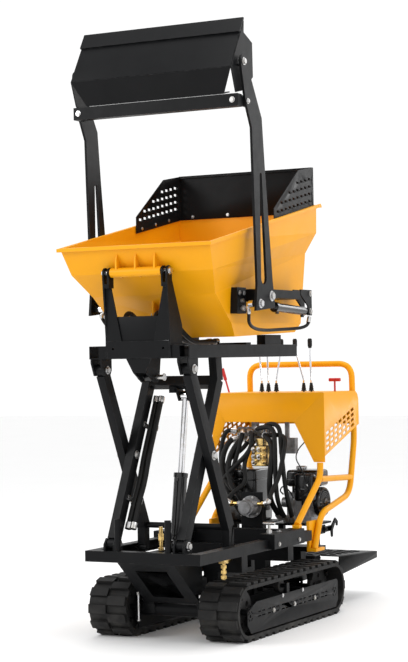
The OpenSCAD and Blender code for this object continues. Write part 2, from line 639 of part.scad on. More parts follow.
// loader arms: long slotted plates
rk = reach / 1057;
function ap(p) = [lp[0] + p[0] * rk, lp[1] + p[1] * (p[1] > 60 ? rk : 1)];
module arm_plates() at() color(blk) both() difference() {
  union() {
    ply(xa, xa + 12, [for (p = [[-164, -71], [36, -53], [30, 0], [16, 59], [-48, 585], [-72, 817], [-166, 971],
      [-222, 1063], [-280, 1053], [-235, 876], [-178, 766], [-171, 574], [-148, 54]]) ap(p)]);
    cx(xa, xa + 12, bk[0], bk[1], 30);
    cx(xa - 21, xa, lt[0], lt[1], 15);
  }
  ply(xa - 1, xa + 13, [for (p = [[-106, 552], [-82, 552], [-50, 80], [-108, 80]]) ap(p)]);
  cx(xa - 1, xa + 13, ap([-79, 80])[0], ap([-79, 80])[1], 28);
  cx(xa - 1, xa + 13, ap([-94, 552])[0], ap([-94, 552])[1], 12);
  cx(xa - 1, xa + 13, lp[0], lp[1], 14 + run);
}
bar = [bk[0] - 44, bk[1] - 206];
module loader_bar() at() color(blk) {
  difference() {
    bx(-xa + 2, xa - 2, bar[0], bar[0] + 46, bar[1], bar[1] + 58);
    bx(-xa + 1, xa - 1, bar[0] + 5, bar[0] + 47, bar[1] + 5, bar[1] + 53);
  }
  both() bx(xa - 14, xa - gap, bar[0] + 5, bar[0] + 96, bar[1] + 5, bar[1] + 53);
}
module arm_bolts() at() color(chr) both() {
  hexx(xa + 12, lt[0], lt[1], 16, 12);
  hexx(xa + 12, bk[0], bk[1], 13, 10);
  hexy(xa - 28, bar[0], bar[1] + 30, 10, -8);
  hexx(xa + 12, bar[0] + 78, bar[1] + 29, 10, 8);
}
// bucket: two folded sheets between side plates
bh = bucket_w / 2;
bt = [bk[0] + 55, bk[1] + 194];
bf = [bk[0] - 81, bk[1] - 32];
bb = [bk[0] - 44 + 6, bk[1] - 143];
module bucket_sheets() at() color(blk) {
  both() ply(bh - 6, bh, [bt, [bt[0] - 9, bt[1] - 53] + [6, 0], bk + [138, 105], bk + [141, -52], bk + [97, -84], bk + [21, -130],
    bb, bf]);
  beam(-bh + 5, bh - 5, bf, bt, 6);
  v = bb - bf;
  translate([0, bf[0], bf[1]]) rotate([atan2(v[1], v[0]), 0, 0]) translate([0, 0, -3]) linear_extrude(6)
    polygon([[-bh + 3, 0], [bh - 3, 0], [bh - 60, norm(v)], [-bh + 60, norm(v)]]);
  beam(-bh + 62, bh - 62, bb, bk + [21, -130], 6, 2);
}
module cutting_edge() at() color(blk) {
  v = (bt - bf) / norm(bt - bf);
  n = [-v[1], v[0]];
  beam(-bh, bh, bt - v * 70 + n * 8.3, bt + v * 12 + n * 8.3, 10);
}
module bucket_spacers() at() color(chr) both() {
  cx(bh, xa, bk[0], bk[1], 18);
}
module rest_blocks() at() color(rub) both() bx(205, 250, 520, 700, up_z + up_h, tub[4][4] + 12 + dz * 0);
// console cowl
cwx = cowl_w / 2;
ct = cowl_top;
lev = [[-138, -150], [-99, -104], [-53, -20], [106, 59], [149, 145]];
ly = 1280;
lz0 = ct - 25;
module cowl() at() color(yel) difference() {
  union() {
    bx(-cwx, cwx, 1051, 1462, ct - 3, ct);
    plx(1051, 1054, [[-cwx, ct], [cwx, ct], [cwx, 760], [cwx - 61, 760], [152, 964], [-242, 964], [-cwx + 8, 800], [-cwx, 800]]);
    both() ply(cwx - 3, cwx, [[1051, 790], [1051, ct], [1462, ct], [1490, ct - 16], [1505, ct - 46], [1505, 939], [1402, 905]]);
    bx(-cwx, cwx, 1502, 1505, 939, ct - 46);
    beam(-cwx, cwx, [1490, ct - 17.5], [1503.6, ct - 46], 3);
    beam(-cwx, cwx, [1462, ct - 1.5], [1490, ct - 17.5], 3);
  }
  for (l = lev) bx(l[0] - 13, l[0] + 13, ly - 34, ly + 34, ct - 4, ct + 1);
  cz(283, ly, ct - 5, ct + 1, 6);
  both() cz(300, 1469, ct - 30, ct + 2, 18.5);
  both() for (k = [0:6]) for (j = [0:3]) translate([0, 1078 + k * 54, 815 + k * 17.7 + j * 27])
    rotate([18.1, 0, 0]) bx(cwx - 4, cwx + 1, 0, 38, 0, 16);
}
// yellow tube frame and the handle
module frame_tubes() at() color(yel) {
  r = [[300, 949, 331], [300, 1031, 502], [300, 1409, 576], [300, 1486, 870], [300, 1474, 1000],
    [300, 1468, handle_z - 56], [258, 1465, handle_z]];
  m = [for (i = [len(r) - 1:-1:0]) [-r[i][0], r[i][1], r[i][2]]];
  pipe(concat(r, m), 16);
  both() {
    pipe([[300, 1036, 759], [300, 1031, 682], [300, 741, 470]], 16);
    rod([300, 1031, 676], [300, 1430, 661], 16);
    bx(282, 318, 722, 760, 452 + gap, 470);
    cz(300, 1036, 740, 759.6, 17);
  }
}
module tube_base() at() color(yel) both() {
  bx(268, 283.6, 922 + gap, 1040, 334, 470);
  bx(268, 320, 922 + gap, 1029.7, 318, 334);
}
module lever_shaft() at() color(chr) {
  cx(-cwx + 3 + gap, 196, ly, lz0, 6);
  bx(188, 196, ly - 12, ly + 12, lz0 - 10, ct - 3 - gap);
}
module lever_rod(k) {
  l = lev[k];
  difference() {
    union() { cx(l[0] - 8, l[0] + 8, ly, lz0, 12); cz(l[0], ly, lz0 + 6, ct + 60, 5); cz(l[0], ly, ct + 4, ct + 20, 10); }
    cx(l[0] - 9, l[0] + 9, ly, lz0, 6 + run);
  }
  pipe([[l[0], ly, ct + 58], [l[0], ly, ct + 60], [l[1], ly, ct + 228]], 5);
}
module lever_knob(k) {
  l = lev[k];
  translate([l[1], ly, ct + 228]) { cylinder(r1 = 8, r2 = 12, h = 14); cz(0, 0, 14, 44, 12);
    translate([0, 0, 44]) cylinder(r1 = 12, r2 = 8, h = 7); }
}
module pull_knob() at() color(red) {
  cz(283, ly, ct - 40, ct + 58, 5);
  cx(252, 314, ly, ct + 61, 9);
}
module side_lever() at() color(red) {
  difference() { cx(-cwx - 16, -cwx - 6.3, ly, ct - 17, 11); cx(-cwx - 20, -cwx - 6, ly, ct - 17, 5 + run); }
  rod([-cwx - 11, ly, ct - 8], [-cwx - 34, ly, ct + 70], 5);
  rod([-cwx - 33, ly, ct + 66], [-cwx - 51, ly, ct + 128], 9);
}
module side_bracket() at() color(chr) {
  bx(-cwx - 6, -cwx, ly - 16, ly + 16, ct - 40, ct - 3);
  cx(-cwx - 20, -cwx - 6, ly, ct - 17, 5);
}
// engine with fan housing, tank, air filter and silencer
module engine_deck() at() color(blk) {
  bx(30, 262, 1032, 1250, 436, 446);
  bx(-262, -20, 1032, 1260, 436, 446);
  for (x = [-230, -60, 70, 230]) bx(x - 15, x + 15, 1040, 1070, 330, 436);
  for (x = [-230, 230]) bx(x - 15, x + 15, 1110, 1140, 330, 436);
}
module crankcase() at() color(gry) {
  bx(70, 226, 1080, 1210, 446, 476);
  bx(84, 212, 1090, 1200, 476, 600);
  for (k = [0:6]) bx(212, 240, 1094, 1200, 492 + k * 16, 499 + k * 16);
  bx(212, 232, 1100, 1194, 476, 604);
  cx(38, 84, 1146, 545, 26);
  bx(100, 130, 1074, 1090, 500, 570);
}
module fan_cover() at() color(blk) {
  cx(240.3, 276, 1146, 552, 74);
  for (k = [0:11]) translate([276, 1146, 552]) rotate([k * 30, 0, 0]) bx(0, 4, 22, 66, -3, 3);
  cx(276, 282, 1146, 552, 18);
}
module fuel_tank() at() color(blk) {
  bx(84, 262, 1080, 1230, 626, 704);
  bx(94, 252, 1090, 1220, 704, 716);
  bx(110, 130, 1100, 1200, 600, 626);
  bx(200, 220, 1100, 1200, 604.3, 626);
}
module tank_cap() at() color(chr) {
  cz(140, 1160, 716, 734, 24);
  for (k = [0:7]) translate([140, 1160, 0]) rotate(k * 45) bx(22, 27, -4, 4, 717, 732);
}
module air_filter() at() color(blk) {
  bx(150, 262, 1040, 1080 - gap, 560, 700);
  bx(160, 252, 1030, 1040, 570, 690);
  bx(180, 212, 1060, 1090 - gap, 520, 560);
}
module silencer() at() color(chr) {
  difference() { bx(84, 212, 1200 + gap, 1252, 500, 596); for (k = [0:5]) bx(94, 202, 1246, 1253, 512 + k * 13, 518 + k * 13); }
}
module recoil_grip() at() color(rub) {
  bx(256, 270, 1086, 1126, 600, 613);
  cz(263, 1106, 613, 626, 4);
}
// hydraulic tank, pump on its plate, and valve bank under the cowl
module oil_tank() at() color(blk) {
  bx(-252, -72, 1046, 1250, 446, 720);
  cz(-200, 1100, 720, 742, 22);
  for (z = [500, 660]) bx(-256, -68, 1042, 1254, z, z + 10);
}
module pump_plate() at() color(blk) {
  bx(-72, 48, 874, 882, 426, 616);
  bx(-72, -64, 882, 916, 426, 560);
  bx(40, 48, 882, 916, 426, 560);
}
module pump_body() at() color(gry) {
  cy(862, 873.7, -12, 542, 56);
  cy(800, 862, -12, 542, 41);
  cy(788, 800, -12, 542, 30);
  cx(-68, 44, 830, 560, 14);
  cy(882.3, 1000, -12, 542, 24);
  cy(881.9, 882.4, -12, 542, 20);
  bx(-40, 16, 1000, 1030, 514, 570);
}
module pump_bolts() at() color(chr) for (k = [0:5]) {
  a = k * 60 + 15;
  hexy(-12 + 49 * cos(a), 862, 542 + 49 * sin(a), 5, -7);
}
module valve_bank() at() color(gry) {
  bx(-196, -10, 1100, 1150, 862, 936);
  for (k = [0:4]) { bx(-192 + k * 37, -162 + k * 37, 1086, 1100, 872, 926); cy(1150, 1168, -177 + k * 37, 898, 12); }
  bx(-120, -90, 1110, 1140, 936, ct - 3);
  bx(40, 130, 1100, 1140, 800, 880);
  bx(70, 90, 1112, 1128, 880, ct - 3);
}
module valve_fittings() at() color(brs) {
  for (k = [0:4]) for (z = [880, 918]) {
    cy(1066, 1086, -177 + k * 37, z, 9);
    translate([-177 + k * 37, 1066, z]) rotate([90, 0, 0]) cylinder(r = 11, h = 10, $fn = 6);
  }
  cx(-92, -68 - gap, 830, 560, 10);
  cx(44 + gap, 68, 830, 560, 10);
  cz(26, -150, 434, 532, 9);
  translate([26, -150, 470]) cylinder(r = 14, h = 30, $fn = 6);
  translate([26, -150, 426]) cylinder(r = 15, h = 12, $fn = 6);
}
module fitting_base() at() color(blk) {
  bx(10, 42, -236, -134, 416, 426);
}
// valve stub and pipe fittings below the right rail
module rail_fittings() at() color(brs) {
  bx(232, 262, 20, 60, 352, 376);
  cz(247, 40, 278, 352, 10);
  for (z = [282, 306, 330]) translate([247, 40, z]) cylinder(r = 15, h = 14, $fn = 6);
  cy(60, 118, 247, 364, 8);
  translate([247, 84, 364]) rotate([-90, 0, 0]) cylinder(r = 12, h = 16, $fn = 6);
}
module engine_hoses() at() color(rub) {
  // valve bank to the tank, the pump and the lines up the arms
  hose([[-177, 1046.6, 918], [-225, 1022, 925], [-250, 1022, 860], [-250, 1000, 760], [-215, 985, 630],
    [-140, 985, 505], [-120, 1033.6, 480]], 12);
  hose([[-140, 1046.6, 918], [-128, 1012, 900], [-155, 980, 760], [-185, 970, 675], [-190, 990, 600],
    [-190, 1033.6, 560]], 12);
  hose([[-103, 1046.6, 918], [-60, 1000, 900], [-60, 968, 820], [-135, 950, 745], [-200, 955, 690],
    [-236, 990, 640], [-236, 1033.6, 620]], 12);
  hose([[-66, 1046.6, 918], [-20, 1000, 940], [60, 1000, 940], [82, 965, 850], [85, 955, 680], [90, 965, 555],
    [100, 1045, 459]], 12);
  hose([[-29, 1046.6, 918], [20, 1010, 960], [90, 1010, 950], [108, 980, 835], [125, 975, 680], [138, 985, 560],
    [140, 1045, 459]], 12);
  hose([[-29, 1046.6, 880], [30, 1010, 900], [130, 1000, 900], [135, 950, 800], [112, 940, 685], [90, 900, 620],
    [104, 830, 570], [81, 830, 560]], 12);
  hose([[-66, 1046.6, 880], [-70, 1000, 850], [-100, 960, 745], [-75, 955, 660], [-130, 900, 610], [-135, 830, 570],
    [-105, 830, 560]], 12);
  hose([[-103, 1046.6, 880], [-110, 1010, 840], [-160, 1000, 800], [-215, 1000, 760], [-225, 1033.6, 690]], 12);
}
module cable() at() color(rub) hose([[283, ly, ct - 44], [283, ly, ct - 120], [225, 1110, 900], [160, 1010, 800], [225, 985, 720],
  [230, 1026.4, 640]], 3);
// rear step: tread plate on a hinge
hy = 1290;
hz = 246;
module step_tray() at() color(blk) {
  difference() {
    union() {
      beam(-275, 275, [hy + 14, hz + 10], [y_back, 228], 6);
      both() ply(269, 275, [[hy + 30, hz + 8], [y_back, 228], [y_back, 196], [hy + 40, 156], [hy + 20, 200]]);
      bx(-275, 275, y_back - 6, y_back, 196, 230);
      for (x = [-150, 90]) { cx(x, x + 60, hy, hz, 12); bx(x, x + 60, hy, hy + 20, hz + 4, hz + 12); }
    }
    cx(-160, 160, hy, hz, 7 + run);
    both() bx(156, 176, hy - 5, hy + 38, hz - 30, hz + 30);
  }
}
module tread_bars() at() color(blk) {
  n = floor((step_l - 90) / 40);
  a = atan2(228 - hz - 10, y_back - hy - 8);
  translate([0, hy + 8, hz + 10]) rotate([a, 0, 0]) for (k = [0:n - 1]) for (m = [0:5])
    translate([-240 + m * 80 + (k % 2) * 34, 40 + k * 40, 3]) bx(0, 34, -4, 4, 0, 4);
}
module step_hinge() at() color(blk) {
  both() {
    bx(112, 172, 1150.3, 1252, 196, 214);
    bx(156, 172, 1252, 1280, 196, 214);
    difference() {
      ply(160, 172, [[1200, 214], [1240, 260], [hy + 12, 260], [hy + 12, hz - 12], [1262, 214]]);
      cx(150, 180, hy, hz, 7 + run);
    }
    cx(60 + 91, 178, hy, hz, 7);
  }
  cx(-178, 178, hy, hz, 7);
}
// latch for the folded step, on the tube base
module hook_bracket() at() color(blk) {
  bx(284, 290, 1022, 1040, 336, 450);
  bx(290, 296, 1022, 1096, 396, 440);
  cx(290, 312, 1080, 418, 6);
}
module hook() at() color(blk) difference() {
  ply(298, 306, [[1066, 404], [1150, 404], [1156, 372], [1170, 372], [1172, 408], [1206, 446], [1220, 440],
    [1222, 424], [1232, 424], [1236, 446], [1206, 466], [1160, 432], [1070, 432]]);
  cx(290, 310, 1080, 418, 6 + run);
}
// manifold and pipes on the skip's side
module side_manifold() at() color(brs) both() {
  cx(352, 372, 60, lz - 56, 9);
  translate([358, 60, lz - 56]) rotate([0, 90, 0]) cylinder(r = 13, h = 9, $fn = 6);
  cx(352, 366, 60, lz - 20, 9);
  hexx(352, 90, lz + 14, 8, 7);
  hexx(352, 44, lz + 14, 8, 7);
}
module skip_lines() at() color(rub) both() {
  hose([[380.4, 60, lz - 56], [396, 50, lz - 72], [372, 90, lz - 135], [350, 260, lz - 158], [362, 480, lz - 150],
    [xc + 19, lb[0] - 30, lb[1] - 80], [xc + 19, lb[0] - 6, lb[1] - 28.4]], 8);
}
module tower_lines() at() color(rub) {
  z0 = up_z + up_h;
  for (x = [-96, 60, 96]) hose([[x, -250, z0 + 8.3], [x, -256, z0 + 90], [x, -200, z0 + 170],
    [x, -60, z0 + 70], [x, 60, z0 + 12], [x, 200, z0 + 14], [x, 312, z0 + 18.4]], 8);
}
module arm_lines() at() color(rub) {
  v = [cos(lift_deg), sin(lift_deg)];
  p = function(s, o) [py0 + s * v[0] + o * v[1], pz0 + s * v[1] - o * v[0]];
  for (k = [0, 1]) hose([for (e = [[90, 42], [230, 44], [330, 60], [450, 44], [600, 46], [760, 44]])
    let (q = p(e[0], e[1])) [-(xin - 22) + 18 * k, q[0], q[1]]], 8);
}
module hose_clips() at() color(chr) {
  v = [cos(lift_deg), sin(lift_deg)];
  for (s = [230, 600]) translate([0, py0 + s * v[0], pz0 + s * v[1]]) rotate([lift_deg - 90, 0, 0]) {
    bx(-xin, -xin + 6, 0, 57, -12, 12);
    bx(-xin + 6, -xin + 52, 53.2, 57, -12, 12);
  }
}

// nodes: each is one sub-part, or a group of small separate solids
module track_frames() { track_beams(); inner_guards(); }
module chassis() { chassis_beams(); lift_base(); fitting_base(); engine_deck(); pump_plate(); step_hinge(); hook_bracket(); }
module lower_frame() { lower_rails(); lower_lugs(); rest_posts(); }
module chassis_bolts() { guard_bolts(); socket_bolts(); guard_rod(); lower_pins(); lift_base_pin(); pump_bolts(); lever_shaft(); side_bracket(); }
module engine_block() { crankcase(); silencer(); }
module engine_covers() { fan_cover(); fuel_tank(); tank_cap(); air_filter(); recoil_grip(); oil_tank(); }
module hydraulic_blocks() { pump_body(); valve_bank(); }
module fittings() { valve_fittings(); rail_fittings(); }
module hoses() { engine_hoses(); cable(); }
module tube_frame() { frame_tubes(); tube_base(); }
module inner_arms() { inner_tubes(); arm_cross_tube(); }
module arm_hoses() { arm_lines(); }
module scissor_pins() { centre_pins(); lift_bolts(); roller_stubs(); hose_clips(); }
module outer_arms() { outer_tubes(); outer_cross_tube(); lower_stubs(); }
module upper_frame() { upper_rails(); upper_lugs(); front_plate(); rest_blocks(); }
module towers() { tower_plates(); tip_bracket(); }
module frame_pins() { upper_pins(); skip_hinge_pins(); tip_foot_pin(); }
module tower_hoses() { tower_lines(); }
module skip_tub() { tub_shell(); skip_rim(); }
module boards() { side_boards(); rear_board(); }
module skip_bolts() { tip_bolts(); board_bolts(); loader_pins(); side_manifold(); }
module skip_hoses() { skip_lines(); }
module loader_arms() { arm_plates(); loader_bar(); }
module bucket() { bucket_sheets(); cutting_edge(); }
module loader_bolts() { arm_bolts(); bucket_spacers(); }
module lever_1() at() { color(chr) lever_rod(0); color(blk) lever_knob(0); }
module lever_2() at() { color(chr) lever_rod(1); color(blk) lever_knob(1); }
module lever_3() at() { color(chr) lever_rod(2); color(blk) lever_knob(2); }
module lever_4() at() { color(chr) lever_rod(3); color(blk) lever_knob(3); }
module lever_5() at() { color(chr) lever_rod(4); color(blk) lever_knob(4); }
module step_plate() { step_tray(); tread_bars(); }

track_belt_r();
track_belt_l();
side_guards();
track_frames();
chassis();
front_guard();
lower_frame();
rail_sockets();
chassis_bolts();
engine_block();
engine_covers();
hydraulic_blocks();
fittings();
hoses();
cowl();
tube_frame();
sprocket_r();
sprocket_l();
idler_r();
idler_l();
roller_r1();
roller_r2();
roller_l1();
roller_l2();
carrier_r();
carrier_l();
clamp_screw_r();
inner_arms();
arm_hoses();
scissor_pins();
upper_rollers();
outer_arms();
lower_rollers();
upper_frame();
towers();
frame_pins();
tower_hoses();
lift_barrel();
lift_rod();
tip_barrel();
tip_rod();
loader_barrels();
loader_rods();
skip_tub();
boards();
loader_mounts();
skip_bolts();
skip_hoses();
loader_arms();
bucket();
loader_bolts();
lever_1();
lever_2();
lever_3();
lever_4();
lever_5();
pull_knob();
side_lever();
step_plate();
hook();
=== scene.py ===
import bpy, bmesh, json, math
from mathutils import Matrix, Vector


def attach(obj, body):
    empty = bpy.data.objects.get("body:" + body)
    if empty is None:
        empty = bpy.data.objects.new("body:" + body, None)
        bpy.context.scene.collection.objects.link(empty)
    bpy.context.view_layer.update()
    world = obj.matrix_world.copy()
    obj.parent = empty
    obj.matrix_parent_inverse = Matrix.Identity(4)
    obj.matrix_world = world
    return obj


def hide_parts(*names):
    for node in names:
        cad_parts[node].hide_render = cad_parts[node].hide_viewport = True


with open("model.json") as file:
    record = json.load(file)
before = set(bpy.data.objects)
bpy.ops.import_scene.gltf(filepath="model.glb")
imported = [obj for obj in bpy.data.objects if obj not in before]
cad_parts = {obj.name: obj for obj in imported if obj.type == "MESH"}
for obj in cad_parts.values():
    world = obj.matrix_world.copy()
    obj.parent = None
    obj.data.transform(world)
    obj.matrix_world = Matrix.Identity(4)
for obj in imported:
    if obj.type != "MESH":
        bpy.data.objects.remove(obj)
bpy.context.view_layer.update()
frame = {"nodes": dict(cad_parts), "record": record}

# The barrow is shown from its front right corner, at chest height, with a long lens.
# It stands on a plain pale floor in a white room lit by large soft lamps.
eye = bpy.data.objects.new("eye", bpy.data.cameras.new("eye"))
bpy.context.collection.objects.link(eye)
eye.data.lens, eye.data.sensor_width, eye.data.clip_end = 98.65, 36, 60
eye.matrix_world = (Matrix.Translation((4.0447, -8.1635, 1.2813)) @ Matrix.Rotation(math.radians(27.5), 4, "Z")
    @ Matrix.Rotation(math.radians(90.97), 4, "X") @ Matrix.Rotation(math.radians(-1.0), 4, "Z"))
bpy.context.scene.camera = eye


class Paint:
    """One output of a finish's node tree, so that its maths can be written as plain sums."""
    def __init__(self, tree, out):
        self.tree, self.out = tree, out

    def node(self, kind, settings=None, out=0, **values):
        n = self.tree.nodes.new(kind)
        for k, v in (settings or {}).items():
            setattr(n, k, v)
        for k, v in values.items():
            s = n.inputs[int(k[1:])] if k[1:].isdigit() else n.inputs[k]
            if isinstance(v, Paint):
                self.tree.links.new(v.out, s)
            else:
                s.default_value = v
        return Paint(self.tree, n.outputs[out])

    def sum(self, operation, a, b=0.0, c=0.0):
        return self.node("ShaderNodeMath", {"operation": operation}, i0=a, i1=b, i2=c)

    def __add__(self, o): return self.sum("ADD", self, o)
    __radd__ = __add__
    def __sub__(self, o): return self.sum("SUBTRACT", self, o)
    def __rsub__(self, o): return self.sum("SUBTRACT", o, self)
    def __mul__(self, o): return self.sum("MULTIPLY", self, o)
    __rmul__ = __mul__
    def over(self, low, high):
        """0 below low and 1 above high"""
        return self.node("ShaderNodeMapRange", {"clamp": True}, Value=self, i1=low, i2=high, i3=0.0, i4=1.0)
    def noise(self, scale, detail=3.0, rough=0.55):
        return self.node("ShaderNodeTexNoise", None, Vector=self, Scale=scale, Detail=detail, Roughness=rough)
    def tone(self, first, second):
        """a colour that turns from first to second as this goes from 0 to 1"""
        a, b = [x if isinstance(x, Paint) else (*x, 1) for x in (first, second)]
        return self.node("ShaderNodeMix", {"data_type": "RGBA"}, out=2, i0=self, i6=a, i7=b)
    def bump(self, depth, strength=0.5):
        return self.node("ShaderNodeBump", None, Height=self, Strength=strength, Distance=depth)
    def edges(self, width):
        """1 along sharp outer edges, 0 on open faces"""
        round_n = self.node("ShaderNodeBevel", {"samples": 4}, Radius=width)
        flat_n = self.node("ShaderNodeNewGeometry", None, out="Normal")
        dot = self.node("ShaderNodeVectorMath", {"operation": "DOT_PRODUCT"}, out=1, i0=round_n, i1=flat_n)
        return (1 - dot).over(0.02, 0.25)
    def height(self):
        return self.node("ShaderNodeSeparateXYZ", None, out=2, Vector=self)


def finish(name, recipe):
    m = bpy.data.materials.new(name)
    m.use_nodes = True
    t = m.node_tree
    face = t.nodes["Principled BSDF"]
    place = Paint(t, t.nodes.new("ShaderNodeTexCoord").outputs["Object"])
    for k, v in recipe(place).items():
        if isinstance(v, Paint):
            t.links.new(v.out, face.inputs[k])
        else:
            face.inputs[k].default_value = v
    return m


def floor_recipe(p):
    return {"Base Color": p.noise(1.3).tone((0.90, 0.90, 0.90), (0.93, 0.93, 0.93)),
            "Roughness": 0.55 + p.noise(60) * 0.2, "Normal": p.noise(220).bump(0.0004, 0.3)}


mesh = bpy.data.meshes.new("floor")
mesh.from_pydata([(-30, -30, 0), (30, -30, 0), (30, 30, 0), (-30, 30, 0)], [], [(0, 1, 2, 3)])
mesh.materials.append(finish("pale floor", floor_recipe))
floor = bpy.data.objects.new("floor", mesh)
bpy.context.collection.objects.link(floor)
for name, at, aim, size, power in (
        ("left lamp", (-3.4, -4.6, 3.8), (0, 0, 1.3), 1.8, 95),
        ("right lamp", (5.0, -2.0, 3.2), (0, 0, 1.2), 1.2, 40),
        ("top lamp", (0.2, -0.5, 6.0), (0, 0, 1.0), 2.0, 110),
        ("rear lamp", (1.5, 5.0, 3.2), (0, 0, 1.4), 2.0, 40)):
    lamp = bpy.data.objects.new(name, bpy.data.lights.new(name, "AREA"))
    bpy.context.collection.objects.link(lamp)
    lamp.data.size, lamp.data.energy = size, power
    lamp.location = at
    lamp.rotation_euler = (Vector(aim) - Vector(at)).to_track_quat("-Z", "Y").to_euler()
room = bpy.data.worlds.new("room")
bpy.context.scene.world = room
room.use_nodes = True
room.node_tree.nodes["Background"].inputs[0].default_value = (1, 1, 1, 1)
room.node_tree.nodes["Background"].inputs[1].default_value = 1.05
bpy.context.scene.view_settings.view_transform = "Standard"

# Two endless rubber belts with staggered lugs, moulded in black rubber, dusty where they meet
# the ground. They run round cast wheels and never leave the side frames.
body_of = {n: b for b, ns in frame["record"]["behaviour"]["bodies"].items() for n in ns}


def dress(node, material, radius=0.0012, crease=35, flatten=True):
    """A smooth-edged copy of a frame piece, with its sharp edges rounded, stands for it."""
    work = bmesh.new()
    work.from_mesh(frame["nodes"][node].data)
    bmesh.ops.remove_doubles(work, verts=work.verts, dist=2e-5)
    if flatten:
        bmesh.ops.dissolve_limit(work, angle_limit=math.radians(0.6), verts=work.verts, edges=work.edges)
    made = bpy.data.meshes.new(node + "_finished")
    work.to_mesh(made)
    work.free()
    made.materials.clear()
    made.materials.append(material)
    made.polygons.foreach_set("material_index", [0] * len(made.polygons))
    made.polygons.foreach_set("use_smooth", [True] * len(made.polygons))
    made.set_sharp_from_angle(angle=math.radians(crease))
    piece = bpy.data.objects.new(node + "_finished", made)
    bpy.context.collection.objects.link(piece)
    if radius:
        cut = piece.modifiers.new("soft edges", "BEVEL")
        cut.width, cut.segments = radius, 2
        cut.limit_method, cut.angle_limit = "ANGLE", math.radians(crease)
        cut.harden_normals = True
        cut.miter_outer = "MITER_ARC"
    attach(piece, body_of[node])
    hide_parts(node)
    return piece


def rubber_recipe(p):
    dust = p.noise(14, 5).over(0.45, 0.75) * (1 - p.height().over(0.0, 0.20)) * 0.5
    return {"Base Color": (dust + p.noise(90, 4) * 0.12).tone((0.004, 0.004, 0.0045), (0.10, 0.095, 0.085)),
            "Roughness": 0.46 + p.noise(45) * 0.3, "Specular IOR Level": 0.2,
            "Normal": (p.noise(160, 5) + p.noise(900, 2) * 0.4).bump(0.0012, 0.6)}


belt_rubber = finish("belt rubber", rubber_recipe)
for side in "rl":
    dress("track_belt_" + side, belt_rubber, 0.0025, 40)

# Sprockets, idlers and rollers, cast and painted black, worn bright on their rims, the lighter rims partly a painted
# edge highlight.


def cast_recipe(p):
    # Lighter rims: partly worn metal, partly a painted edge highlight.
    edge_mark = p.edges(0.003) * p.noise(60, 4).over(0.35, 0.6)
    cloud = p.noise(18, 4).tone((0.008, 0.008, 0.009), (0.022, 0.021, 0.02))
    return {"Base Color": edge_mark.tone(cloud, (0.20, 0.19, 0.18)),
            "Roughness": 0.65 - edge_mark * 0.3 + p.noise(80) * 0.1, "Metallic": edge_mark * 0.8 + 0.1,
            "Normal": p.noise(350, 4).bump(0.0008, 0.5)}


cast_iron = finish("cast wheels", cast_recipe)
for node in ("sprocket_r", "sprocket_l", "idler_r", "idler_l", "roller_r1", "roller_r2", "roller_l1", "roller_l2",
             "carrier_r", "carrier_l", "upper_rollers", "lower_rollers"):
    dress(node, cast_iron, 0.0015)

# Side frames, chassis, lower frame and rail sockets: welded steel, powder coated satin black,
# with paint rubbed thin along the edges, and those edges lightened as a painted edge highlight too.


def black_recipe(p):
    # Lighter edges: partly rubbed paint, partly a painted edge highlight.
    edge_mark = p.edges(0.0022) * p.noise(38, 5).over(0.42, 0.62)
    cloud = p.noise(7, 5).tone((0.0025, 0.0027, 0.0032), (0.0065, 0.0068, 0.0075))
    return {"Base Color": (edge_mark * 0.7).tone(cloud, (0.11, 0.11, 0.11)),
            "Roughness": 0.34 + p.noise(22, 4) * 0.2 + edge_mark * 0.1, "Metallic": edge_mark * 0.4,
            "Specular IOR Level": 0.12,
            "Normal": (p.noise(420, 3) + p.noise(60, 3) * 0.5).bump(0.0005, 0.45)}


black_steel = finish("black steel", black_recipe)
for node in ("side_guards", "track_frames", "chassis", "front_guard", "lower_frame", "rail_sockets"):
    dress(node, black_steel, 0.0012)

# Zinc plated screws, pins and rods, slightly blue, with fine turning marks.


def zinc_recipe(p):
    tarnish = p.noise(30, 5).over(0.4, 0.75)
    return {"Base Color": tarnish.tone((0.62, 0.62, 0.63), (0.42, 0.40, 0.36)), "Metallic": 1.0,
            "Roughness": 0.26 + tarnish * 0.18, "Normal": p.noise(700, 3).bump(0.0003, 0.4)}


zinc = finish("zinc plate", zinc_recipe)
for node in ("chassis_bolts", "clamp_screw_r", "scissor_pins", "frame_pins", "skip_bolts", "loader_bolts"):
    dress(node, zinc, 0.0006)

# The scissor: two pairs of square tube arms with cross tubes, the upper frame on top of them,
# and the towers that carry the skip's hinge.
for node in ("inner_arms", "outer_arms", "upper_frame", "towers"):
    dress(node, black_steel, 0.0018)

# Cylinders: painted barrels, hard chromed rods.


def barrel_recipe(p):
    # Lighter edges: partly worn paint, partly a painted edge highlight.
    edge_mark = p.edges(0.002) * p.noise(40, 4).over(0.45, 0.62)
    return {"Base Color": (edge_mark * 0.6).tone((0.004, 0.004, 0.0045), (0.12, 0.12, 0.12)),
            "Roughness": 0.16 + p.noise(26, 4) * 0.16, "Coat Weight": 0.3, "Specular IOR Level": 0.4,
            "Normal": p.noise(300, 2).bump(0.0003, 0.3)}


def chrome_recipe(p):
    film = p.noise(25, 4).over(0.5, 0.8)
    return {"Base Color": film.tone((0.80, 0.80, 0.82), (0.55, 0.52, 0.48)), "Metallic": 1.0,
            "Roughness": 0.08 + film * 0.15}


barrel_paint = finish("barrel paint", barrel_recipe)
chrome = finish("hard chrome", chrome_recipe)
for node in ("lift_barrel", "tip_barrel", "loader_barrels"):
    dress(node, barrel_paint, 0.001)
for node in ("lift_rod", "tip_rod", "loader_rods"):
    dress(node, chrome, 0.0008)
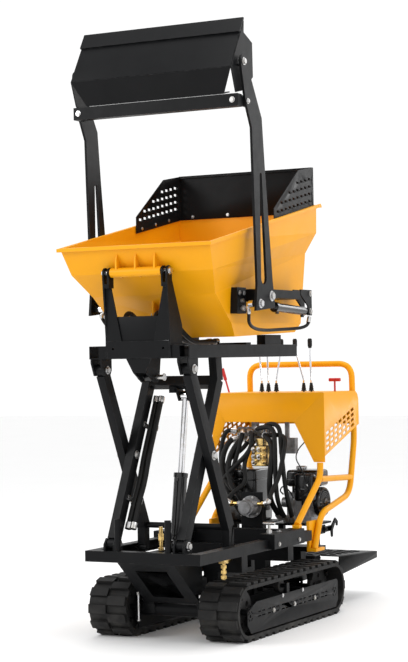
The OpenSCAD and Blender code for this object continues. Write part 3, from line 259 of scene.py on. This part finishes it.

# The skip: folded and welded sheet, glossy amber paint, worn dark along its edges and dusty.


def amber_recipe(p):
    edge_mark = p.edges(0.003) * p.noise(30, 5).over(0.5, 0.66)
    cloud = p.noise(3.2, 4).tone((0.76, 0.315, 0.001), (0.82, 0.36, 0.002))
    dust = (p.noise(9, 6).over(0.52, 0.8) * 0.18).tone(cloud, (0.56, 0.27, 0.04))
    return {"Base Color": (edge_mark * 0.55).tone(dust, (0.25, 0.16, 0.06)),
            "Roughness": 0.34 + p.noise(12, 5) * 0.2 + edge_mark * 0.2, "Specular IOR Level": 0.22,
            "Normal": (p.noise(130, 2) + p.noise(9, 2) * 2).bump(0.0006, 0.35)}


amber = finish("amber paint", amber_recipe)
dress("skip_tub", amber, 0.0022, 9)
dress("loader_mounts", black_steel, 0.001)
dress("boards", black_steel, 0, flatten=False)

# Loader arms and bucket: long black plates and a folded black bucket between them.
for node in ("loader_arms", "bucket"):
    dress(node, black_steel, 0.0015, 20)

# Hoses: black rubber over a wire braid, each swaged into a plated ferrule at both ends. They run
# from the valve bank to the tank, the pump and the lines that climb the arms to the skip.


def hose_recipe(p):
    weave = p.noise(1500, 1) * 0.6 + p.noise(260, 2)
    return {"Base Color": p.noise(30, 3).tone((0.004, 0.004, 0.004), (0.012, 0.012, 0.012)),
            "Roughness": 0.34 + p.noise(50) * 0.2, "Specular IOR Level": 0.18, "Normal": weave.bump(0.0005, 0.5)}


hose_skin = finish("hose rubber", hose_recipe)
hose_maker = bpy.data.node_groups.new("hose with ferrules", "GeometryNodeTree")
for name, kind in (("Path", "NodeSocketGeometry"), ("Radius", "NodeSocketFloat"), ("Ferrule", "NodeSocketFloat")):
    hose_maker.interface.new_socket(name=name, in_out="INPUT", socket_type=kind)
hose_maker.interface.new_socket(name="Hose", in_out="OUTPUT", socket_type="NodeSocketGeometry")


def part_of(tree, kind, **settings):
    n = tree.nodes.new(kind)
    for k, v in settings.items():
        setattr(n, k, v)
    return n


def tie(tree, *pairs):
    for a, b in pairs:
        tree.links.new(a, b)


come = part_of(hose_maker, "NodeGroupInput")
gather = part_of(hose_maker, "GeometryNodeJoinGeometry")
for low, high, swell, skin in ((None, None, 1.0, hose_skin), ("first", None, 1.28, zinc), (None, "last", 1.28, zinc)):
    ring = part_of(hose_maker, "GeometryNodeCurvePrimitiveCircle")
    ring.inputs["Resolution"].default_value = 14
    wide = part_of(hose_maker, "ShaderNodeMath", operation="MULTIPLY")
    wide.inputs[1].default_value = swell
    sweep = part_of(hose_maker, "GeometryNodeCurveToMesh")
    sweep.inputs["Fill Caps"].default_value = True
    coat = part_of(hose_maker, "GeometryNodeSetMaterial")
    coat.inputs["Material"].default_value = skin
    tie(hose_maker, (come.outputs["Radius"], wide.inputs[0]), (wide.outputs[0], ring.inputs["Radius"]),
        (ring.outputs["Curve"], sweep.inputs["Profile Curve"]), (sweep.outputs["Mesh"], coat.inputs["Geometry"]),
        (coat.outputs["Geometry"], gather.inputs["Geometry"]))
    if low or high:
        cut = part_of(hose_maker, "GeometryNodeTrimCurve", mode="LENGTH")
        span = part_of(hose_maker, "GeometryNodeSplineLength")
        lead = part_of(hose_maker, "ShaderNodeMath", operation="SUBTRACT")
        tie(hose_maker, (come.outputs["Path"], cut.inputs["Curve"]), (cut.outputs["Curve"], sweep.inputs["Curve"]))
        ends = [x for x in cut.inputs if x.enabled and x.name in ("Start", "End")][-2:]
        if low:
            ends[0].default_value = 0.0
            tie(hose_maker, (come.outputs["Ferrule"], ends[1]))
        else:
            tie(hose_maker, (span.outputs["Length"], lead.inputs[0]), (come.outputs["Ferrule"], lead.inputs[1]),
                (lead.outputs[0], ends[0]), (span.outputs["Length"], ends[1]))
    else:
        tie(hose_maker, (come.outputs["Path"], sweep.inputs["Curve"]))
free = part_of(hose_maker, "GeometryNodeRealizeInstances")
go = part_of(hose_maker, "NodeGroupOutput")
tie(hose_maker, (gather.outputs["Geometry"], free.inputs["Geometry"]), (free.outputs["Geometry"], go.inputs["Hose"]))


def made_by(tree, source, **values):
    """Runs a Geometry Nodes tree on a curve or mesh and returns the plain mesh that it makes."""
    holder = bpy.data.objects.new(source.name, source)
    bpy.context.collection.objects.link(holder)
    step = holder.modifiers.new(tree.name, "NODES")
    step.node_group = tree
    for item in tree.interface.items_tree:
        if item.in_out == "INPUT" and item.name in values:
            step[item.identifier] = values[item.name]
    result = bpy.data.meshes.new_from_object(holder.evaluated_get(bpy.context.evaluated_depsgraph_get()))
    bpy.data.objects.remove(holder)
    return result


def at(x, y, z):
    """A point given in millimetres behind the front axle line, as the machine is laid out."""
    return Vector((x, y - 754, z)) / 1000


def bend(stops):
    """A smooth line that starts and ends on the stops and rounds off each one between."""
    stops = [at(*s) for s in stops]
    line = [stops[0]]
    for a, b, c in zip(stops, stops[1:], stops[2:]):
        a, c = (a + b) / 2, (b + c) / 2
        line += [(1 - t) ** 2 * a + 2 * t * (1 - t) * b + t * t * c
                 for t in (0.08, 0.22, 0.36, 0.5, 0.64, 0.78, 0.92)]
    return line + [stops[-1]]


def run_hoses(name, body, radius, runs, stands_for=None, ferrule=0.03):
    path = bpy.data.curves.new(name, "CURVE")
    path.dimensions = "3D"
    for stops in runs:
        line = bend(stops)
        thread = path.splines.new("POLY")
        thread.points.add(len(line) - 1)
        for spot, v in zip(thread.points, line):
            spot.co = (*v, 1)
    made = made_by(hose_maker, path, Radius=radius, Ferrule=ferrule)
    made.polygons.foreach_set("use_smooth", [True] * len(made.polygons))
    made.set_sharp_from_angle(angle=math.radians(50))
    piece = bpy.data.objects.new(name, made)
    bpy.context.collection.objects.link(piece)
    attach(piece, body)
    if stands_for:
        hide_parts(stands_for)
    return piece


both_sides = lambda runs: runs + [[(-x, y, z) for x, y, z in r] for r in runs]
run_hoses("engine_hoses", "chassis", 0.012, [
    [(-177, 1046, 918), (-225, 1022, 925), (-250, 1022, 860), (-250, 1000, 760), (-215, 985, 630), (-140, 985, 505),
     (-120, 1034, 480)],
    [(-140, 1046, 918), (-128, 1012, 900), (-155, 980, 760), (-185, 970, 675), (-190, 990, 600), (-190, 1034, 560)],
    [(-103, 1046, 918), (-60, 1000, 900), (-60, 968, 820), (-135, 950, 745), (-200, 955, 690), (-236, 990, 640),
     (-236, 1034, 620)],
    [(-66, 1046, 918), (-20, 1000, 940), (60, 1000, 940), (82, 965, 850), (85, 955, 680), (90, 965, 555),
     (100, 1045, 459)],
    [(-29, 1046, 918), (20, 1010, 960), (90, 1010, 950), (108, 980, 835), (125, 975, 680), (138, 985, 560),
     (140, 1045, 459)],
    [(-29, 1046, 880), (30, 1010, 900), (130, 1000, 900), (135, 950, 800), (112, 940, 685), (90, 900, 620),
     (104, 830, 570), (81, 830, 560)],
    [(-66, 1046, 880), (-70, 1000, 850), (-100, 960, 745), (-75, 955, 660), (-130, 900, 610), (-135, 830, 570),
     (-105, 830, 560)],
    [(-103, 1046, 880), (-110, 1010, 840), (-160, 1000, 800), (-215, 1000, 760), (-225, 1034, 690)]], "hoses")
# Return and suction hoses, thicker than the rest, that hang in front of the tank.
run_hoses("return_hoses", "chassis", 0.0145, [
    [(-177, 1046, 880), (-200, 1008, 870), (-232, 985, 790), (-222, 970, 690), (-165, 965, 620), (-165, 1034, 600)],
    [(-140, 1046, 880), (-150, 1000, 860), (-190, 965, 770), (-176, 950, 660), (-120, 950, 590), (-100, 985, 520),
     (-85, 1034, 500)],
    [(-10, 1046, 900), (10, 1000, 895), (66, 975, 850), (60, 955, 740), (48, 960, 640), (40, 985, 560),
     (70, 1045, 470)]])
run_hoses("pull_cable", "chassis", 0.003, [
    [(283, 1280, 1071), (283, 1280, 995), (225, 1110, 900), (160, 1010, 800), (225, 985, 720),
     (230, 1026, 640)]], None, 0.012)
lean = math.radians(63.9)
along_arm = [[(x, -230 + s * math.cos(lean) + o * math.sin(lean), 455 + s * math.sin(lean) - o * math.cos(lean))
    for s, o in ((90, 42), (230, 44), (330, 56), (450, 43), (600, 45), (760, 43))] for x in (-146, -119)]
run_hoses("arm_lines", "inner_arms", 0.0125, along_arm, "arm_hoses")
run_hoses("tower_lines", "upper_frame", 0.0115, [[(x, -250, 1368), (x, -256, 1450), (x, -200, 1530), (x, -60, 1430),
    (x, 60, 1372), (x, 200, 1374), (x, 312, 1378)] for x in (-96, 60, 96)], "tower_hoses")
run_hoses("skip_lines", "skip", 0.008, both_sides([[(380, 60, 1524), (396, 50, 1508), (372, 90, 1445),
    (350, 260, 1422), (362, 480, 1430), (418, 648, 1438), (418, 672, 1490)]]), "skip_hoses")

# Console cowl and the bent tube frame that carries it, in the skip's amber paint.
dress("cowl", amber, 0.001, flatten=False)

# Engine, pump and valve bank: bare castings, black covers, brass fittings.


def casting_recipe(p):
    grime = p.noise(16, 5).over(0.45, 0.7)
    return {"Base Color": grime.tone((0.34, 0.34, 0.35), (0.12, 0.115, 0.11)), "Metallic": 0.75 - grime * 0.4,
            "Roughness": 0.45 + grime * 0.25, "Normal": (p.noise(450, 4) + p.noise(90) * 0.5).bump(0.0008, 0.5)}


def brass_recipe(p):
    dull = p.noise(50, 4).over(0.45, 0.7)
    return {"Base Color": dull.tone((0.72, 0.50, 0.18), (0.38, 0.25, 0.10)), "Metallic": 1.0,
            "Roughness": 0.22 + dull * 0.2, "Normal": p.noise(600, 2).bump(0.0003, 0.3)}


casting = finish("bare casting", casting_recipe)
brass = finish("brass", brass_recipe)
for node in ("engine_block", "hydraulic_blocks"):
    dress(node, casting, 0.001)


def block(into, low, high, radius, steps=3, slot=0):
    """A box with rounded edges between two corners, added to a mesh under work."""
    made = bmesh.ops.create_cube(into, size=1)["verts"]
    low, high = at(*low), at(*high)
    for v in made:
        v.co = Vector([(low[i] + high[i]) / 2 + v.co[i] * (high[i] - low[i]) for i in range(3)])
    rims = list({e for v in made for e in v.link_edges})
    cut = bmesh.ops.bevel(into, geom=rims, offset=radius / 1000, segments=steps, affect="EDGES", profile=0.5)
    shell = {f for f in cut["faces"]} | {f for v in made if v.is_valid for f in v.link_faces}
    for f in shell:
        f.material_index, f.smooth = slot, True


def turn(into, outline, spot, facing=(0, 0, 1), sides=28, slot=0):
    """A turned shape: outline is (radius, height) in millimetres, standing on spot and facing that way."""
    swing = Vector(facing).to_track_quat("Z", "Y").to_matrix()
    rings = []
    for r, h in outline:
        if r < 1e-6:
            rings.append([into.verts.new(at(*spot) + swing @ Vector((0, 0, h / 1000)))])
        else:
            rings.append([into.verts.new(at(*spot) + swing @ Vector((r * math.cos(k * math.tau / sides),
                r * math.sin(k * math.tau / sides), h)) / 1000) for k in range(sides)])
    for a, b in zip(rings, rings[1:]):
        for k in range(sides):
            four = [a[k % len(a)], a[(k + 1) % len(a)], b[(k + 1) % len(b)], b[k % len(b)]]
            face = into.faces.new([v for i, v in enumerate(four) if v not in four[:i]])
            face.material_index, face.smooth = slot, True


def put(name, work, body, materials, stands_for=(), crease=40):
    """Closes a mesh under work, faces it outwards, and makes it a piece that rides on a body."""
    bmesh.ops.remove_doubles(work, verts=work.verts, dist=1e-6)
    bmesh.ops.recalc_face_normals(work, faces=work.faces)
    made = bpy.data.meshes.new(name)
    work.to_mesh(made)
    work.free()
    for m in materials:
        made.materials.append(m)
    made.set_sharp_from_angle(angle=math.radians(crease))
    piece = bpy.data.objects.new(name, made)
    bpy.context.collection.objects.link(piece)
    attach(piece, body)
    if stands_for:
        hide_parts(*stands_for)
    return piece


# Pressed tanks, filter box and ribbed fan cover, in black, around the engine.
covers = bmesh.new()
block(covers, (84, 1080, 630), (262, 1230, 716), 17, 4)
block(covers, (80, 1076, 662), (266, 1234, 668), 2, 2)
block(covers, (110, 1100, 600), (130, 1200, 632), 3)
block(covers, (200, 1100, 604), (220, 1200, 632), 3)
block(covers, (-252, 1046, 446), (-72, 1250, 720), 14, 4)
for z in (500, 660):
    block(covers, (-255, 1043, z), (-69, 1253, z + 10), 2.5, 2)
block(covers, (150, 1034, 560), (262, 1079.7, 700), 15, 4)
block(covers, (147, 1032, 618), (265, 1079.7, 624), 2, 2)
block(covers, (180, 1060, 520), (212, 1089.7, 566), 4)
turn(covers, [(0, 0), (74, 0), (76, 4), (76, 24), (72, 33), (66, 36), (62, 33), (62, 24), (20, 24),
             (20, 36), (17, 41), (0, 41)],
     (240.3, 1146, 552), (1, 0, 0), 48)
for k in range(20):
    a = k * math.tau / 20
    c, d = math.cos(a), math.sin(a)
    turn(covers, [(0, 0), (2.2, 0), (2.2, 44), (0, 44)], (274, 1146 + 19 * c, 552 + 19 * d), (0, c, d), 6)
for r in (30, 41, 52):
    turn(covers, [(r - 1.8, 0), (r - 1.8, 3.6), (r + 1.8, 3.6), (r + 1.8, 0), (r - 1.8, 0)],
         (272, 1146, 552), (1, 0, 0), 40)
turn(covers, [(0, 0), (22, 0), (22, 14), (19, 21), (0, 22)], (-200, 1100, 720))
turn(covers, [(0, 0), (24, 0), (26, 3), (26, 14), (22, 18), (0, 19)], (140, 1160, 716), sides=24, slot=1)
for k in range(12):
    a = k * math.tau / 12
    turn(covers, [(0, 0), (2.4, 0), (2.4, 13), (0, 14)],
         (140 + 26 * math.cos(a), 1160 + 26 * math.sin(a), 718), sides=8, slot=1)
block(covers, (256, 1086, 600), (270, 1126, 613), 5)
turn(covers, [(0, 0), (4, 0), (4, 14), (0, 14)], (263, 1106, 612), sides=12)
put("engine_covers_finished", covers, "chassis", [barrel_paint, zinc], ["engine_covers"])

# The amber tube frame: one 32 mm tube bent round the console and its handle, two struts and two
# side bars welded to it, on plates screwed to the chassis.
def sweep(name, runs, radius, ease, material):
    """Smoothly bent tubes that round off every stop with the given ease, in millimetres."""
    line = bpy.data.curves.new(name, "CURVE")
    line.dimensions, line.bevel_depth, line.bevel_resolution, line.use_fill_caps = "3D", radius, 6, True
    for stops in runs:
        stops = [at(*v) for v in stops]
        walk = [stops[0]]
        for a, b, c in zip(stops, stops[1:], stops[2:]):
            before, after = (a - b), (c - b)
            reach = min(ease / 1000, before.length * 0.48, after.length * 0.48)
            a, c = b + before.normalized() * reach, b + after.normalized() * reach
            walk += [(1 - t) ** 2 * a + 2 * t * (1 - t) * b + t * t * c
                 for t in (0, 0.15, 0.3, 0.45, 0.6, 0.75, 0.9, 1)]
        thread = line.splines.new("POLY")
        thread.points.add(len(walk))
        for spot, v in zip(thread.points, walk + [stops[-1]]):
            spot.co = (*v, 1)
    holder = bpy.data.objects.new(name + "_path", line)
    bpy.context.collection.objects.link(holder)
    made = bpy.data.meshes.new_from_object(holder.evaluated_get(bpy.context.evaluated_depsgraph_get()))
    bpy.data.objects.remove(holder)
    made.materials.clear()
    made.materials.append(material)
    made.polygons.foreach_set("use_smooth", [True] * len(made.polygons))
    piece = bpy.data.objects.new(name, made)
    bpy.context.collection.objects.link(piece)
    return piece


right = [(300, 949, 331), (300, 1031, 502), (300, 1409, 576), (300, 1486, 870), (300, 1474, 1000), (300, 1466, 1258)]
pipes = sweep("console_pipes", [right + [(-x, y, z) for x, y, z in reversed(right)]] + both_sides(
    [[(300, 1036, 759), (300, 1031, 682), (300, 741, 470)]]), 0.016, 75, amber)
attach(pipes, "chassis")
cross = sweep("console_side_bars", both_sides([[(300, 1031, 676), (300, 1430, 661)]]), 0.0155, 10, amber)
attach(cross, "chassis")
feet = bmesh.new()
for x in (-1, 1):
    for low, high in (((282, 722, 452.5), (318, 760, 470)), ((268, 922.5, 334), (283.6, 1040, 470)),
                      ((268, 922.5, 318), (320, 1029.7, 334))):
        near, far = sorted((x * low[0], x * high[0]))
        block(feet, (near, low[1], low[2]), (far, high[1], high[2]), 1.5)
put("console_feet", feet, "chassis", [amber], ["tube_frame"])

# A folded web plate closes the foot of the two towers, in black like them.
web = bmesh.new()
block(web, (-122, -284, 1362), (122, -279, 1492), 2)
put("tower_web", web, "upper_frame", [black_steel])

# Plated tees, elbows and nuts between the hoses, a spark plug with its lead, and clamps.
joints = bmesh.new()
block(joints, (-66, 992, 738), (24, 1030, 846), 5, slot=2)
block(joints, (-46, 1006, 838), (-2, 1064, 884), 4, slot=2)
for x, z in ((-50, 822), (-20, 822), (9, 822), (-50, 786), (-20, 786), (9, 786), (-50, 756), (9, 756)):
    slot = 0 if (x + z) % 2 else 1
    turn(joints, [(0, 0), (12, 0), (13, 2), (13, 11), (12, 13), (0, 13)], (x, 993, z), (0, -1, 0), 6, slot)
    turn(joints, [(0, 0), (8, 0), (8, 24), (0, 24)], (x, 984, z), (0.25, -1, 0.2), 20, 1 - slot)
    turn(joints, [(0, 0), (10, 0), (10, 12), (8, 15), (0, 15)], (x + 4, 966, z + 3), (0.5, -0.6, 0.7), 6, slot)
for x, z in ((76, 560), (-100, 560)):
    turn(joints, [(0, 0), (15, 0), (16, 2), (16, 13), (15, 15), (0, 15)], (x - 8, 830, z), (1, 0, 0), 6, 0)
put("hose_fittings", joints, "chassis", [brass, zinc, barrel_paint])
run_hoses("spark_lead", "chassis", 0.0035, [[(60, 1100, 590), (52, 1072, 610), (80, 1060, 640), (120, 1070, 600),
    (130, 1082, 560)]], None, 0.012)
dress("fittings", brass, 0.0006)

# Levers with black grips, the red pull knob and the red side lever.


def red_recipe(p):
    return {"Base Color": p.noise(40, 3).tone((0.55, 0.012, 0.01), (0.40, 0.01, 0.012)),
            "Roughness": 0.25 + p.noise(90) * 0.15, "Normal": p.noise(500, 2).bump(0.0003, 0.3)}


red_plastic = finish("red plastic", red_recipe)
for k in range(1, 6):
    lever = dress("lever_%d" % k, chrome, 0.0006)
    lever.data.materials.append(hose_skin)
    for f in lever.data.polygons:
        f.material_index = 0 if 1.139 < f.center.z < 1.341 else 1
    boot = bmesh.new()
    turn(boot, [(0, 0), (13, 0), (15, 3), (10.5, 8), (13, 12), (9.5, 17), (12, 21), (8.5, 26), (10.5, 30), (7.5, 35),
        (8, 42), (0, 42)], ((-138, -99, -53, 106, 149)[k - 1], 1280, 1119), sides=24)
    put("lever_boot_%d" % k, boot, "lever_%d" % k, [hose_skin])
for node in ("pull_knob", "side_lever"):
    dress(node, red_plastic, 0.0008)

# Folding rear step of tread plate, and the latch hook.
dress("step_plate", black_steel, 0, flatten=False)
dress("hook", black_steel, 0.0008)
